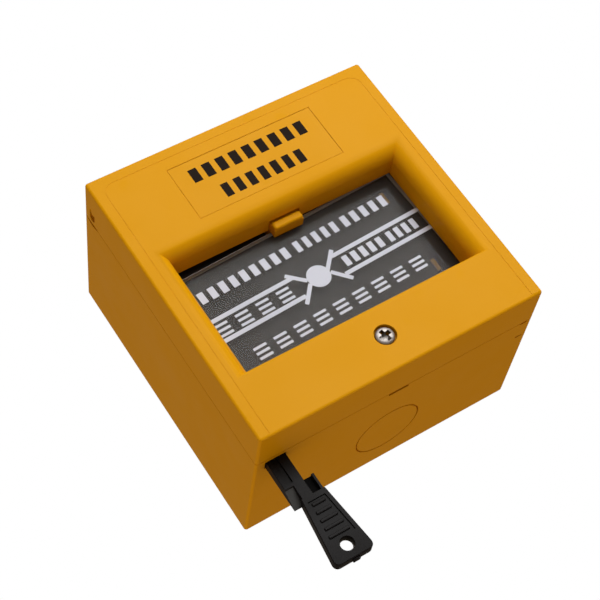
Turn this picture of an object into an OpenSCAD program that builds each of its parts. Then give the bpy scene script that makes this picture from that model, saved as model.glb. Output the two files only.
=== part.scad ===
// Manual call point: surface box, hinged front cover, press plate and reset key.
// +Z is up as it hangs on a wall, +Y goes into the wall, and the back face lies on y = 0.

/* [Body] */
// Width of the box and cover
body_w = 86; // [80:1:110]
// Height of the box and cover
body_h = 86; // [82:1:110]
// Depth of the rear box, from the wall to the seam
box_d = 39.7; // [37:0.1:52]
// Depth of the front cover, from the seam to the face
cover_d = 13.2; // [12.6:0.1:18]
// Thickness of the side walls
wall = 2.2; // [1.8:0.1:2.8]
// Thickness of the back wall
back_t = 2.5; // [2:0.1:4]
// Gap that lets mating lips and loose parts go together
gap = 0.2; // [0.1:0.05:0.4]

/* [Recess] */
// Width of the recess at the press plate
recess_w = 69; // [56:1:70]
// Height of the recess at the press plate
recess_h = 37.5; // [30:0.5:40]
// Height of the recess centre above the body centre
recess_z = -6.15; // [-10:0.05:-2]
// Radius of the rolled top and side edges
roll_r = 4.5; // [3:0.1:4.6]
// Radius of the bottom edge
lip_r = 1; // [0.5:0.1:2]
// Thickness of the walls round the recess
well_t = 2; // [1.5:0.1:2.4]

/* [Press plate] */
// Width of the press plate
plate_w = 71; // [58:1:72]
// Height of the press plate
plate_h = 38; // [32:0.1:39]
// Thickness of the press plate
plate_t = 1.8; // [1.2:0.1:2.4]
// Lean of the loosely held plate in its tray, in degrees
plate_lean = 2.7; // [0:0.1:3]
// Thickness of the tray that carries the plate
carrier_t = 1.6; // [1.2:0.1:2.2]
// Radius of the tray's hinge pins
rod_r = 1.5; // [1:0.1:2]

/* [Catch and key] */
// Width of the catch tab
tab_w = 8.9; // [6:0.1:12]
// Travel of the catch when the key is pushed home
catch_travel = 2.4; // [1.5:0.1:3]
// Thickness of the sliding catch
slider_t = 1.6; // [1.2:0.1:2]
// Width of the key's blade
key_w = 5.6; // [4:0.1:6]
// Thickness of the key
key_t = 2.9; // [2:0.1:3.2]
// Length of key blade inside the box
key_in = 21; // [12:0.5:24]
// Length of the key's grip
grip_h = 19.2; // [15:0.1:26]
// Width of the grip at its free end
grip_w = 11.6; // [9:0.1:14]
// Width of the grip at its neck
neck_w = 7; // [5:0.1:8]
// Radius of the hole in the grip
key_hole_r = 1.65; // [1:0.05:2.2]

/* [Fixings] */
// Radius of the wall fixing holes
fix_r = 2.25; // [2:0.05:3]
// Distance between the wall fixing holes
fix_pitch = 60.3; // [50:0.1:62]
// Radius of the rear cable entry and of the knockout
entry_r = 10; // [8:0.5:12]
// Radius of the cover screw's shank
screw_r = 1.4; // [1.2:0.1:1.6]
// Radius of the cover screw's head
head_r = 2.35; // [2:0.05:3]
// Height of the cover screw below the body centre
screw_drop = 33.4; // [32:0.1:35]
// Radius of the hinge lugs on the box
lug_r = 1.25; // [1:0.05:1.4]

/* [Label] */
// Width of the label insert
label_w = 44.4; // [30:0.1:60]
// Height of the label insert
label_h = 17.4; // [12:0.1:18]
// Thickness of the label insert
label_t = 0.8; // [0.6:0.1:1.2]

/* [Switch] */
// Length of the microswitch body
switch_l = 19.8; // [18:0.1:21]
// Height of the microswitch body
switch_h = 10.2; // [9:0.1:11]
// Thickness of the microswitch body
switch_t = 6.4; // [5.5:0.1:7]
// Pitch of the terminals in the terminal block
pole_pitch = 5.08; // [5:0.01:5.5]

/* [Hidden] */
$fn = 64;
eps = 0.01;
half_w = body_w / 2;
half_h = body_h / 2;
seam_y = -box_d;
face_y = -box_d - cover_d;
in_x = half_w - wall;
in_z = half_h - wall;

// Recess
rec_x = recess_w / 2;
rec_top = recess_z + recess_h / 2;
rec_bot = recess_z - recess_h / 2;
well_d = cover_d - 3.5;
well_end_y = face_y + well_d;

// Press plate, tray and hinge pins
plate_y = well_end_y + gap;
tray_y = plate_y + plate_t + 0.1;
tray_back_y = tray_y + carrier_t;
tray_x = rec_x + 2.8;
tray_top = rec_top + 2;
rod_y = tray_back_y - 0.5;
plate_z = rec_top - 0.45 - plate_h / 2;
plate_bot = plate_z - plate_h / 2;
tray_bot = plate_bot - 1.65;
rod_z = tray_bot - 4;
pin_x0 = 23;
pin_x1 = 31.5;
ear_x = 28;
ear_t = 2.5;
lug_x = 24;
run_gap = 0.05;

// Chassis
chassis_y = tray_back_y + 6.7;
chassis_t = 2;
chassis_back_y = chassis_y + chassis_t;
chassis_x = 33.5;
chassis_top = 38;
chassis_bot = rod_z;
post_x = 30.2;
post_zs = [33.5, -20.5];
post_r = 3.2;
tap_r = 1.3;

// Catch slider, its guides and spring
slider_back_y = chassis_y - gap;
slider_y = slider_back_y - slider_t;
slider_x0 = -in_x + 1.3;
slider_leg = 4;
slider_bar_z0 = rec_top - 2.6;
slider_bar_z1 = rec_top + 2;
tab_y = well_end_y - 3.8;
tab_z0 = rec_top - 2.7;
tab_z1 = rec_top - gap;
notch_y = tab_y - 0.3;
guide_r = 1.5;
guide_xs = [-30, -12];
spring_x = -21;
spring_y = slider_y + 0.1;
spring_seat_z = slider_bar_z1 + 8;

// Key and its slot
key_x0 = -in_x + 0.9;
key_y0 = seam_y + 1.3;
key_top = -half_h + key_in;
slot_gap = 0.3;
step_z = -half_h - 8;
neck_z = step_z - 4.5;
grip_x = key_x0 + key_w;
grip_end = neck_z - grip_h;

// Cover hinge and screw
hinge_y = seam_y - 4.8;
hinge_z = half_h - 4;
corner_r = 5.5;
swing_r = corner_r + 0.15;
ear_r = 1.9;
insert_y = hinge_y;
insert_l = 6;
insert_r = 2.6;
insert_bore = screw_r + gap;
screw_tip = insert_y + 3.4;
boss_r = 3.9;

// Microswitch, lever and plunger
lever_ang = 13.5;
lever_z = rod_z + 24.5;
lever_y = chassis_y + 2.1;
lever_w = 3.6;
lever_t = 0.4;
lever_l = 15.5;
nose_z = lever_z + 13.1;
nose_y = lever_y - 5;
nose_r = 1.5;
switch_x = 13;
switch_y = lever_y + 0.7;
switch_z = lever_z - 2.4;
plunger_r = 0.7;
plunger_z = lever_z + 3;
hole_pitch = 9.5;

// Terminal block and leads
block_x = 8;
block_z = 22;
block_d = 10;
block_h = 8;
poles = 3;
lead_r = 0.8;
blade_zs = [for (i = [0:poles - 1]) switch_z + 2 + i * (switch_l - 4) / (poles - 1)];
blade_y = switch_y + switch_h;

// Colours
orange = [0.87, 0.60, 0.09];
dark = [0.09, 0.09, 0.09];
smoke = [0.20, 0.20, 0.20];
steel = [0.72, 0.72, 0.70];
brass = [0.78, 0.62, 0.28];

// A box between two corners
module span(lo, hi) {
  translate(lo) cube([for (i = [0:2]) hi[i] - lo[i]]);
}

// A cylinder along Y, from y0 to y1
module rod_along_y(x, z, y0, y1, r) {
  translate([x, y0, z]) rotate([-90, 0, 0]) cylinder(r = r, h = y1 - y0);
}

// A cylinder along X, from x0 to x1
module rod_along_x(y, z, x0, x1, r) {
  translate([x0, y, z]) rotate([0, 90, 0]) cylinder(r = r, h = x1 - x0);
}

// Outline of a recess side to side, seen along its length: walls with rolled edges.
// grow moves it outwards by the thickness of the wall round it.
module roll_profile(low, high, low_r, high_r, depth, grow) {
  difference() {
    union() {
      translate([low - grow, -1]) square([high - low + 2 * grow, depth + 1]);
      translate([low - low_r, -1]) square([low_r + 1, low_r + 1]);
      translate([high - 1, -1]) square([high_r + 1, high_r + 1]);
    }
    if (low_r > grow)
      translate([low - low_r, low_r]) circle(r = low_r - grow);
    if (high_r > grow)
      translate([high + high_r, high_r]) circle(r = high_r - grow);
  }
}

// The recess as a solid: where the side to side and top to bottom profiles both reach
module recess_solid(grow, depth) {
  translate([0, face_y, 0])
    intersection() {
      translate([0, 0, -body_h])
        linear_extrude(height = 2 * body_h)
          roll_profile(-rec_x, rec_x, roll_r, roll_r, depth, grow);
      translate([-body_w, 0, 0])
        rotate([90, 0, 90])
          linear_extrude(height = 2 * body_w)
            rotate(90) mirror([0, 1])
              roll_profile(rec_bot, rec_top, lip_r, roll_r, depth, grow);
    }
}

// One side's hinge ear, with the lug that stands out into the cover's slot
module hinge_ear(side) {
  x0 = in_x - gap - 2;
  x1 = in_x - gap;
  mirror([side < 0 ? 1 : 0, 0, 0]) {
    rod_along_x(hinge_y, hinge_z, x0, x1, ear_r);
    span([x0, hinge_y, hinge_z - ear_r], [x1, seam_y + 3, hinge_z + ear_r]);
    span([x0, seam_y + 1, hinge_z - ear_r - 2], [in_x + eps, seam_y + 5, hinge_z + ear_r]);
    rod_along_x(hinge_y, hinge_z, x1 - eps, half_w - 0.2, lug_r);
  }
}

// Lip that lines up the cover, on the bottom and the lower part of both sides
module seam_lip() {
  lip_t = 1;
  lip_h = 2;
  lip_top = 24;
  for (side = [-1, 1])
    mirror([side < 0 ? 1 : 0, 0, 0])
      span([in_x - gap - lip_t, seam_y - lip_h, -in_z + gap], [in_x - gap, seam_y + 1.5, lip_top]);
  span([-in_x + gap, seam_y - lip_h, -in_z + gap], [in_x - gap, seam_y + 1.5, -in_z + gap + lip_t]);
  for (side = [-1, 1])
    mirror([side < 0 ? 1 : 0, 0, 0])
      span([in_x - gap - lip_t, seam_y + 0.5, -in_z + gap], [in_x + eps, seam_y + 1.5, lip_top]);
  span([-in_x + gap, seam_y + 0.5, -in_z - eps], [in_x - gap, seam_y + 1.5, -in_z + gap + lip_t]);
}

module rear_box() {
  color(orange)
    difference() {
      union() {
        difference() {
          span([-half_w, seam_y, -half_h], [half_w, 0, half_h]);
          span([-in_x, seam_y - 1, -in_z], [in_x, -back_t, in_z]);
        }
        seam_lip();
        hinge_ear(1);
        hinge_ear(-1);
        for (x = [-post_x, post_x])
          for (z = post_zs)
            rod_along_y(x, z, chassis_back_y, -back_t + eps, post_r);
        rod_along_y(0, -screw_drop, insert_y, -back_t + eps, boss_r);
        span([-1, insert_y + 6, -in_z - eps], [1, -back_t + eps, -screw_drop]);
      }
      // room for the cover's top corner to swing
      difference() {
        rod_along_x(hinge_y, hinge_z, -half_w - 1, half_w + 1, swing_r);
        span([-in_x - eps, hinge_y - 9, hinge_z - 9], [in_x + eps, 0, in_z]);
        span([-in_x - eps, hinge_y - 9, hinge_z - 9], [in_x + eps, seam_y, half_h + 9]);
        span([in_x - gap - 0.5, hinge_y - 9, hinge_z - 1.6], [half_w + 2, seam_y, hinge_z + 1.6]);
        span([-half_w - 2, hinge_y - 9, hinge_z - 1.6], [-in_x + gap + 0.5, seam_y, hinge_z + 1.6]);
      }
      // insert seat and chassis screw holes
      rod_along_y(0, -screw_drop, insert_y - 1, insert_y + insert_l, insert_r);
      rod_along_y(0, -screw_drop, insert_y, insert_y + insert_l + 3, insert_bore);
      for (x = [-post_x, post_x])
        for (z = post_zs)
          rod_along_y(x, z, chassis_back_y - 1, chassis_back_y + 8, tap_r);
      // wall fixing holes and rear cable entry
      for (x = [-fix_pitch / 2, fix_pitch / 2])
        rod_along_y(x, 0, -back_t - 1, 1, fix_r);
      rod_along_y(0, 0, -back_t - 1, 1, entry_r);
      // scored knockout in the bottom wall
      translate([0, -box_d * 0.45, -half_h - 1])
        difference() {
          cylinder(r = entry_r, h = 1.9);
          cylinder(r = entry_r - 0.4, h = 1.9);
        }
      // pry slit, key slot and the two short slits by the corner
      span([-3.1, seam_y - 3, -half_h - 1], [3.1, seam_y + 0.9, -in_z + 2]);
      span([key_x0 - slot_gap, key_y0 - slot_gap, -half_h - 1],
        [key_x0 + key_w + slot_gap, key_y0 + key_t + slot_gap, key_top + catch_travel + 1]);
      for (y = [seam_y - eps, seam_y + 6.9])
        span([half_w - 3.9, y, -half_h - 1], [half_w - 1.7, y + 0.6, -half_h + 1.2]);
    }
}

// Ears that hold the tray's hinge pins
module pin_ears() {
  for (side = [-1, 1])
    mirror([side < 0 ? 1 : 0, 0, 0])
      difference() {
        union() {
          span([ear_x, rod_y, rod_z - 3], [ear_x + ear_t, chassis_y + 1, rod_z + 3]);
          rod_along_x(rod_y, rod_z, ear_x, ear_x + ear_t, 3);
        }
        rod_along_x(rod_y, rod_z, ear_x - 1, ear_x + ear_t + 1, rod_r);
      }
}

module chassis() {
  bracket_x = switch_x + switch_t;
  color(orange)
    difference() {
      union() {
        span([-chassis_x, chassis_y, chassis_bot], [chassis_x, chassis_back_y, chassis_top]);
        pin_ears();
        // bracket that the switch is screwed to, and the seat of the catch spring
        span([bracket_x + 0.05, chassis_y + 1, switch_z], [bracket_x + 2.3, blade_y, switch_z + switch_l]);
        span([spring_x - 3, spring_y - 2, spring_seat_z], [spring_x + 3, chassis_y + 1, spring_seat_z + 1.8]);
        rod_along_y(-6, 0, chassis_y - 1.2, chassis_y + 1, 1.9);
      }
      // windows for the switch, the leads and the screw boss
      span([switch_x - 0.4, chassis_y - 1, switch_z - 0.6],
        [bracket_x + 0.05, chassis_back_y + 1, switch_z + switch_l + 0.6]);
      span([block_x + 1, chassis_y - 1, 14], [block_x + poles * pole_pitch - 1, chassis_back_y + 1, 21]);
      rod_along_y(0, -screw_drop, chassis_y - 1, chassis_back_y + 1, boss_r + 1);
      for (x = [-post_x, post_x])
        for (z = post_zs)
          rod_along_y(x, z, chassis_y - 1, chassis_back_y + 1, tap_r + 0.3);
      for (x = guide_xs)
        rod_along_y(x, (slider_bar_z0 + slider_bar_z1) / 2, chassis_y - 1, chassis_back_y + 1, 1);
      for (z = [-hole_pitch / 2, hole_pitch / 2])
        rod_along_x(switch_y + 7, switch_z + switch_l / 2 + z, bracket_x, bracket_x + 5, 0.9);
    }
}

// A pan head screw along Y with a cross recess, head towards -Y
module pan_screw(x, z, y, shank, shank_r, screw_head_r, head_h) {
  difference() {
    union() {
      rod_along_y(x, z, y - head_h, y, screw_head_r);
      rod_along_y(x, z, y - eps, y + shank, shank_r);
    }
    for (turn = [0, 90])
      translate([x, y - head_h, z])
        rotate([0, turn, 0])
          span([-screw_head_r * 0.6, -1, -0.3], [screw_head_r * 0.6, head_h * 0.6, 0.3]);
  }
}

module chassis_screws() {
  color(steel)
    for (x = [-post_x, post_x])
      for (z = post_zs)
        pan_screw(x, z, chassis_y, 9, tap_r - run_gap, 2.6, 1.9);
}

module guide_screws() {
  z = (slider_bar_z0 + slider_bar_z1) / 2;
  color(steel)
    for (x = guide_xs)
      difference() {
        union() {
          rod_along_y(x, z, slider_y - 0.9, slider_y - 0.1, 2.1);
          rod_along_y(x, z, slider_y - 0.2, chassis_y, guide_r);
          rod_along_y(x, z, chassis_y - eps, chassis_back_y + 1.5, 0.95);
        }
        span([x - 1.4, slider_y - 1, z - 0.25], [x + 1.4, slider_y - 0.5, z + 0.25]);
      }
}

module hinge_pins() {
  color(steel)
    for (side = [-1, 1])
      mirror([side < 0 ? 1 : 0, 0, 0])
        rod_along_x(rod_y, rod_z, pin_x0, pin_x1, rod_r - 0.01);
}

module screw_insert() {
  color(brass)
    difference() {
      union() {
        rod_along_y(0, -screw_drop, insert_y, insert_y + insert_l, insert_r - 0.35);
        for (k = [0, 2.2, 4.4])
          rod_along_y(0, -screw_drop, insert_y + k, insert_y + k + 1.4, insert_r - 0.02);
      }
      rod_along_y(0, -screw_drop, insert_y - 1, insert_y + insert_l + 1, insert_bore);
    }
}

module switch_case() {
  color(dark)
    difference() {
      span([switch_x, switch_y, switch_z], [switch_x + switch_t, switch_y + switch_h, switch_z + switch_l]);
      rod_along_y(switch_x + switch_t / 2, plunger_z, switch_y - 1, switch_y + 4, plunger_r + run_gap);
      for (z = [-hole_pitch / 2, hole_pitch / 2])
        rod_along_x(switch_y + 7, switch_z + switch_l / 2 + z, switch_x - 1, switch_x + switch_t + 1, 1.2);
      span([switch_x - 1, switch_y - 1, lever_z - 1.4], [switch_x + 0.5, switch_y + 1, lever_z + 1.4]);
    }
}

module switch_blades() {
  color(brass)
    for (z = blade_zs)
      span([switch_x + switch_t / 2 - 1.2, blade_y, z - 0.25], [switch_x + switch_t / 2 + 1.2, blade_y + 4.2, z + 0.25]);
}

module switch_screws() {
  color(steel)
    for (z = [-hole_pitch / 2, hole_pitch / 2]) {
      rod_along_x(switch_y + 7, switch_z + switch_l / 2 + z, switch_x - 1.3, switch_x, 2);
      rod_along_x(switch_y + 7, switch_z + switch_l / 2 + z, switch_x - eps, switch_x + switch_t + 3.6, 0.88);
    }
}

// Leaf lever on the switch, standing off its body at rest
module switch_lever() {
  x_mid = switch_x + switch_t / 2;
  color(steel)
    translate([x_mid, lever_y, lever_z])
      rotate([lever_ang, 0, 0]) {
        span([-lever_w / 2, -lever_t / 2, 0], [lever_w / 2, lever_t / 2, lever_l]);
        rod_along_x(0, 0, -lever_w / 2, lever_w / 2, 0.45);
      }
}

module switch_plunger() {
  tip = lever_y - 3 * tan(lever_ang) + lever_t / 2 / cos(lever_ang) + 0.12;
  color([0.75, 0.15, 0.1])
    rod_along_y(switch_x + switch_t / 2, plunger_z, tip, switch_y + 2.6, plunger_r);
}

module terminal_block() {
  w = poles * pole_pitch;
  front = chassis_y - block_d;
  color([0.16, 0.42, 0.24])
    difference() {
      span([block_x, front, block_z], [block_x + w, chassis_y, block_z + block_h]);
      for (i = [0:poles - 1]) {
        x = block_x + (i + 0.5) * pole_pitch;
        rod_along_y(x, block_z + block_h / 2, front - 1, front + 3.4, 1.95);
        span([x - 1.9, front + 3.3, block_z - 1], [x + 1.9, front + 7.5, block_z + block_h + 1]);
      }
    }
}

module terminal_clamps() {
  front = chassis_y - block_d;
  color(brass)
    for (i = [0:poles - 1]) {
      x = block_x + (i + 0.5) * pole_pitch;
      difference() {
        span([x - 1.85, front + 3.35, block_z + 1.2], [x + 1.85, front + 7.45, block_z + block_h - 1.2]);
        span([x - 1.2, front + 4.6, block_z], [x + 1.2, front + 6.8, block_z + block_h]);
        rod_along_y(x, block_z + block_h / 2, front + 3, front + 5, 1.05);
      }
    }
}

module terminal_screws() {
  front = chassis_y - block_d;
  z = block_z + block_h / 2;
  color(steel)
    for (i = [0:poles - 1]) {
      x = block_x + (i + 0.5) * pole_pitch;
      difference() {
        union() {
          rod_along_y(x, z, front + 1.2, front + 3.3, 1.85);
          rod_along_y(x, z, front + 3.2, front + 5.1, 1);
        }
        span([x - 1.9, front + 1, z - 0.25], [x + 1.9, front + 2, z + 0.25]);
      }
    }
}

function lerp(a, b, t) = a * (1 - t) + b * t;
function bezier(p, t) = len(p) == 1 ? p[0]
  : bezier([for (i = [0:len(p) - 2]) lerp(p[i], p[i + 1], t)], t);
function unit(v) = v / norm(v);
function across(d) = unit(abs(d[0]) < 0.9 ? cross(d, [1, 0, 0]) : cross(d, [0, 1, 0]));

// A round tube swept along a list of points, as one closed surface
module tube(path, r, sides) {
  n = len(path);
  dirs = [for (i = [0:n - 1]) unit(path[min(i + 1, n - 1)] - path[max(i - 1, 0)])];
  rings = [for (i = [0:n - 1])
    let (u = across(dirs[i]), v = cross(dirs[i], u))
    for (k = [0:sides - 1]) path[i] + r * (u * cos(360 * k / sides) + v * sin(360 * k / sides))];
  walls = [for (i = [0:n - 2])
    for (k = [0:sides - 1])
      let (a = i * sides + k, b = i * sides + (k + 1) % sides)
      each [[a, b, b + sides], [a, b + sides, a + sides]]];
  ends = [[for (k = [0:sides - 1]) sides - 1 - k], [for (k = [0:sides - 1]) (n - 1) * sides + k]];
  polyhedron(points = rings, faces = concat([for (f = walls) [f[2], f[1], f[0]]], [for (f = ends) [for (k = [sides - 1:-1:0]) f[k]]]), convexity = 6);
}

// A lead from a switch blade, up behind the chassis, through its window to the terminal block
module lead(i, tint) {
  x0 = switch_x + switch_t / 2;
  x1 = block_x + (i + 0.5) * pole_pitch;
  back = blade_y + 4.2;
  in_y = chassis_y - block_d + 5.7;
  x2 = x0 - 7 * (poles - 1 - i);
  ctrl = [[x0, back + 0.15, blade_zs[i]], [x0, back + 7, blade_zs[i]], [x2, back + 5, blade_zs[i] + 6],
    [x1, back - 8, 19], [x1, chassis_y + 1, 19], [x1, in_y, 15], [x1, in_y, block_z + 1.1]];
  color(tint)
    tube([for (k = [0:28]) bezier(ctrl, k / 28)], lead_r, 8);
}

module lead_common() {
  lead(0, [0.1, 0.1, 0.1]);
}

module lead_open() {
  lead(1, [0.75, 0.1, 0.08]);
}

module lead_closed() {
  lead(2, [0.9, 0.9, 0.88]);
}

// Slot in the cover's side wall that the hinge lug stands in
module lug_slot() {
  slot_r = lug_r + run_gap;
  rod_along_x(hinge_y, hinge_z, -half_w - 1, half_w + 1, slot_r);
  span([-half_w - 1, hinge_y, hinge_z - slot_r], [half_w + 1, hinge_y + 2.2, hinge_z + slot_r]);
  rod_along_x(hinge_y + 2.2, hinge_z, -half_w - 1, half_w + 1, slot_r);
}

module front_cover() {
  tube_r = 3.6;
  color(orange)
    difference() {
      union() {
        difference() {
          span([-half_w, face_y, -half_h], [half_w, seam_y, half_h]);
          span([-in_x, face_y + wall, -in_z], [in_x, seam_y + 1, in_z]);
        }
        intersection() {
          span([-in_x - eps, face_y, -in_z - eps], [in_x + eps, well_end_y, in_z + eps]);
          recess_solid(well_t, well_d);
        }
        rod_along_y(0, -screw_drop, face_y + wall - eps, insert_y - 0.4, tube_r);
      }
      recess_solid(0, well_d + 1);
      lug_slot();
      // rounded rear top corner that turns about the lugs
      difference() {
        span([-half_w - 1, hinge_y, hinge_z], [half_w + 1, seam_y + 1, half_h + 1]);
        rod_along_x(hinge_y, hinge_z, -half_w - 2, half_w + 2, corner_r);
      }
      // notches in the top wall that the hinge ears turn in
      for (side = [-1, 1])
        mirror([side < 0 ? 1 : 0, 0, 0])
          span([in_x - gap - 2.3, hinge_y - ear_r - 0.7, in_z - 1], [in_x + eps, seam_y + 1, half_h + 1]);
      // room for the catch tab to lift
      span([-tab_w / 2 - 0.3, notch_y, rec_top - 1], [tab_w / 2 + 0.3, seam_y, rec_top + catch_travel + 2.6]);
      // label seat
      span([-label_w / 2 - 0.05, face_y - 1, label_mid() - label_h / 2 - 0.05],
        [label_w / 2 + 0.05, face_y + label_t, label_mid() + label_h / 2 + 0.05]);
      // screw seat, shank hole and retainer pocket
      rod_along_y(0, -screw_drop, face_y - 1, face_y + 1.6, head_r + 0.4);
      rod_along_y(0, -screw_drop, face_y, insert_y, screw_r + 0.25);
      rod_along_y(0, -screw_drop, insert_y - 2.4, insert_y, 2.6);
    }
}

// Height of the label's middle, between the recess and the top edge
function label_mid() = (rec_top + roll_r + half_h) / 2 - 2.35;

module label_insert() {
  color(orange)
    span([-label_w / 2, face_y, label_mid() - label_h / 2], [label_w / 2, face_y + label_t, label_mid() + label_h / 2]);
}

module cover_screw() {
  color(steel)
    pan_screw(0, -screw_drop, face_y + 1.6, screw_tip - face_y - 1.6, screw_r, head_r, 1.3);
}

module screw_retainer() {
  color([0.9, 0.9, 0.88])
    difference() {
      rod_along_y(0, -screw_drop, insert_y - 2.4, insert_y - 1.6, 2.55);
      rod_along_y(0, -screw_drop, insert_y - 3, insert_y - 1, screw_r + 0.01);
    }
}

// Tray behind the press plate, on its hinge pins, with the nose that works the switch lever
module plate_carrier() {
  x_mid = switch_x + switch_t / 2;
  color(dark)
    difference() {
      union() {
        span([-tray_x, tray_y, tray_bot], [tray_x, tray_back_y, tray_top]);
        for (side = [-1, 1])
          mirror([side < 0 ? 1 : 0, 0, 0]) {
            span([lug_x, tray_y, rod_z], [lug_x + 3, tray_back_y, tray_bot + 1]);
            rod_along_x(rod_y, rod_z, lug_x, lug_x + 3, 2.6);
          }
        span([x_mid - 1.5, tray_back_y - eps, nose_z - 1.2], [x_mid + 1.5, nose_y, nose_z + 1.2]);
        rod_along_x(nose_y, nose_z, x_mid - 1.5, x_mid + 1.5, nose_r);
      }
      rod_along_x(rod_y, rod_z, -50, 50, rod_r + run_gap);
      rod_along_y(0, -screw_drop, tray_y - 1, tray_back_y + 1, boss_r + 1);
      span([-tab_w / 2 - 0.6, tray_y - 1, rec_top - 0.8], [tab_w / 2 + 0.6, tray_back_y + 1, tray_top + 1]);
    }
}

module press_plate() {
  color(smoke)
    translate([0, plate_y, plate_z])
      rotate([0, -plate_lean, 0])
        span([-plate_w / 2, 0, -plate_h / 2], [plate_w / 2, plate_t, plate_h / 2]);
}

// Two pads on the tray that show through the press plate near its right end
module plate_ribs() {
  color(orange)
    for (z = [rec_top - 5.4, rec_bot + 7.6])
      span([rec_x - 5.6, tray_y - 0.08, z - 1.9], [rec_x - 4.4, tray_y, z + 1.9]);
}

module catch_slider() {
  foot_z = key_top + 0.1;
  color(orange)
    difference() {
      union() {
        // leg, foot that the key pushes, and top bar
        span([slider_x0, slider_y, foot_z], [slider_x0 + slider_leg, slider_back_y, slider_bar_z1]);
        span([slider_x0, key_y0 + 0.2, foot_z], [slider_x0 + slider_leg, slider_back_y, foot_z + 2.5]);
        span([slider_x0, slider_y, slider_bar_z0], [tab_w / 2, slider_back_y, slider_bar_z1]);
        // arm over the plate, and the tab in front of it
        span([-tab_w / 2, plate_y - 2, rec_top], [tab_w / 2, slider_back_y, slider_bar_z1]);
        span([-tab_w / 2, tab_y, tab_z0], [tab_w / 2, plate_y - 0.1, tab_z1]);
        span([-tab_w / 2, tab_y + 1, tab_z1 - 1], [tab_w / 2, plate_y - 0.1, slider_bar_z1]);
        rod_along_z(spring_x, spring_y, slider_bar_z1 - 0.5, slider_bar_z1 + 1.2, 0.7);
      }
      for (x = guide_xs)
        span([x - guide_r - 0.1, slider_y - 1, (slider_bar_z0 + slider_bar_z1) / 2 - guide_r - catch_travel - 0.1],
          [x + guide_r + 0.1, slider_back_y + 1, (slider_bar_z0 + slider_bar_z1) / 2 + guide_r + 0.1]);
    }
}

// A cylinder along Z
module rod_along_z(x, y, z0, z1, r) {
  translate([x, y, z0]) cylinder(r = r, h = z1 - z0);
}

module reset_key() {
  y1 = key_y0 + key_t;
  corner = 1.6;
  color(dark)
    difference() {
      union() {
        // blade, with its left side cut back to a ramp near the grip
        span([key_x0, key_y0, step_z], [key_x0 + key_w, y1, key_top]);
        span([key_x0 + 2.5, key_y0, neck_z - 1], [key_x0 + key_w, y1, step_z + 1]);
        translate([key_x0, 0, 0]) rotate([90, 0, 90]) linear_extrude(height = 2.6)
          polygon([[key_y0, step_z], [y1, step_z], [y1, neck_z - 0.9]]);
        // short second blade
        span([key_x0 + key_w - 1, key_y0 + 1.3, neck_z - 1], [key_x0 + key_w + 3.1, y1, step_z]);
        span([key_x0 + key_w + 2.4, key_y0, neck_z - 1], [key_x0 + key_w + 3.1, y1, step_z]);
        // grip
        translate([grip_x, y1, 0]) rotate([90, 0, 0]) linear_extrude(height = key_t)
          polygon([[-neck_w / 2, neck_z], [neck_w / 2, neck_z], [grip_w / 2, grip_end + corner],
            [grip_w / 2 - corner, grip_end], [-grip_w / 2 + corner, grip_end], [-grip_w / 2, grip_end + corner]]);
        for (side = [-1, 1])
          rod_along_y(grip_x + side * (grip_w / 2 - corner), grip_end + corner, key_y0, y1, corner);
        span([grip_x - 0.8, key_y0 + 0.7, grip_end - 0.6], [grip_x + 1.2, y1 - 0.7, grip_end + 1]);
      }
      rod_along_y(grip_x, grip_end + 4, key_y0 - 1, y1 + 1, key_hole_r);
      // finger panel with cross ridges left standing
      for (k = [0:4])
        span([grip_x - 2.1, key_y0 - 1, neck_z - 2.6 - 2.2 * k - 1.4], [grip_x + 2.1, key_y0 + 0.4, neck_z - 2.6 - 2.2 * k]);
    }
}

// A coil spring along Z, from z0 to z1
module coil(z0, z1, r, wire, turns) {
  steps = turns * 12;
  tube([for (k = [0:steps]) [r * cos(360 * turns * k / steps), r * sin(360 * turns * k / steps),
    z0 + wire + (z1 - z0 - 2 * wire) * k / steps]], wire, 6);
}

module catch_spring() {
  color(steel)
    translate([spring_x, spring_y, 0])
      coil(slider_bar_z1 + 0.05, spring_seat_z - 0.05, 1.25, 0.2, 6);
}

module plate_spring() {
  color(steel)
    translate([-6, 0, 0]) rotate([-90, 0, 0])
      coil(tray_back_y + 0.05, chassis_y - 0.05, 2.6, 0.3, 4);
}

rear_box();
chassis();
chassis_screws();
hinge_pins();
guide_screws();
switch_case();
switch_blades();
switch_screws();
terminal_block();
terminal_clamps();
terminal_screws();
screw_insert();
lead_common();
lead_open();
lead_closed();
front_cover();
label_insert();
cover_screw();
screw_retainer();
plate_carrier();
press_plate();
plate_ribs();
catch_slider();
reset_key();
switch_lever();
switch_plunger();
catch_spring();
plate_spring();
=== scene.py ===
import math

import bmesh
import bpy
from mathutils import Matrix, Vector


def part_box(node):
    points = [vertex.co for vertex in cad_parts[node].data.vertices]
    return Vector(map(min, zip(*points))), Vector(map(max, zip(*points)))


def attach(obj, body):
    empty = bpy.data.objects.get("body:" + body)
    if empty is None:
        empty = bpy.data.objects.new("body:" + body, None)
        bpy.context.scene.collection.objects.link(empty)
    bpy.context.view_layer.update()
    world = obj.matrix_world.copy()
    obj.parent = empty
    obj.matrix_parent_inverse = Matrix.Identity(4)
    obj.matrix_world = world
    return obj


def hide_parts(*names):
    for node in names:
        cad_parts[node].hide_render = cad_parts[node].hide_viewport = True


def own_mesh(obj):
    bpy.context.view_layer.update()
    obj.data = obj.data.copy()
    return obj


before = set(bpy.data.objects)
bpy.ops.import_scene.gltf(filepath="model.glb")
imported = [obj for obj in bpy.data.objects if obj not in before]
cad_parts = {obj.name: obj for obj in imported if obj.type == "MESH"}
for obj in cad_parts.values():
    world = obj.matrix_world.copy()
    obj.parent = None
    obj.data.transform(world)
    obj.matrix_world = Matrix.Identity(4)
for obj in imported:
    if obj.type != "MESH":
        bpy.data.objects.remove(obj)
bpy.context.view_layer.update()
MM = 0.001

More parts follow.
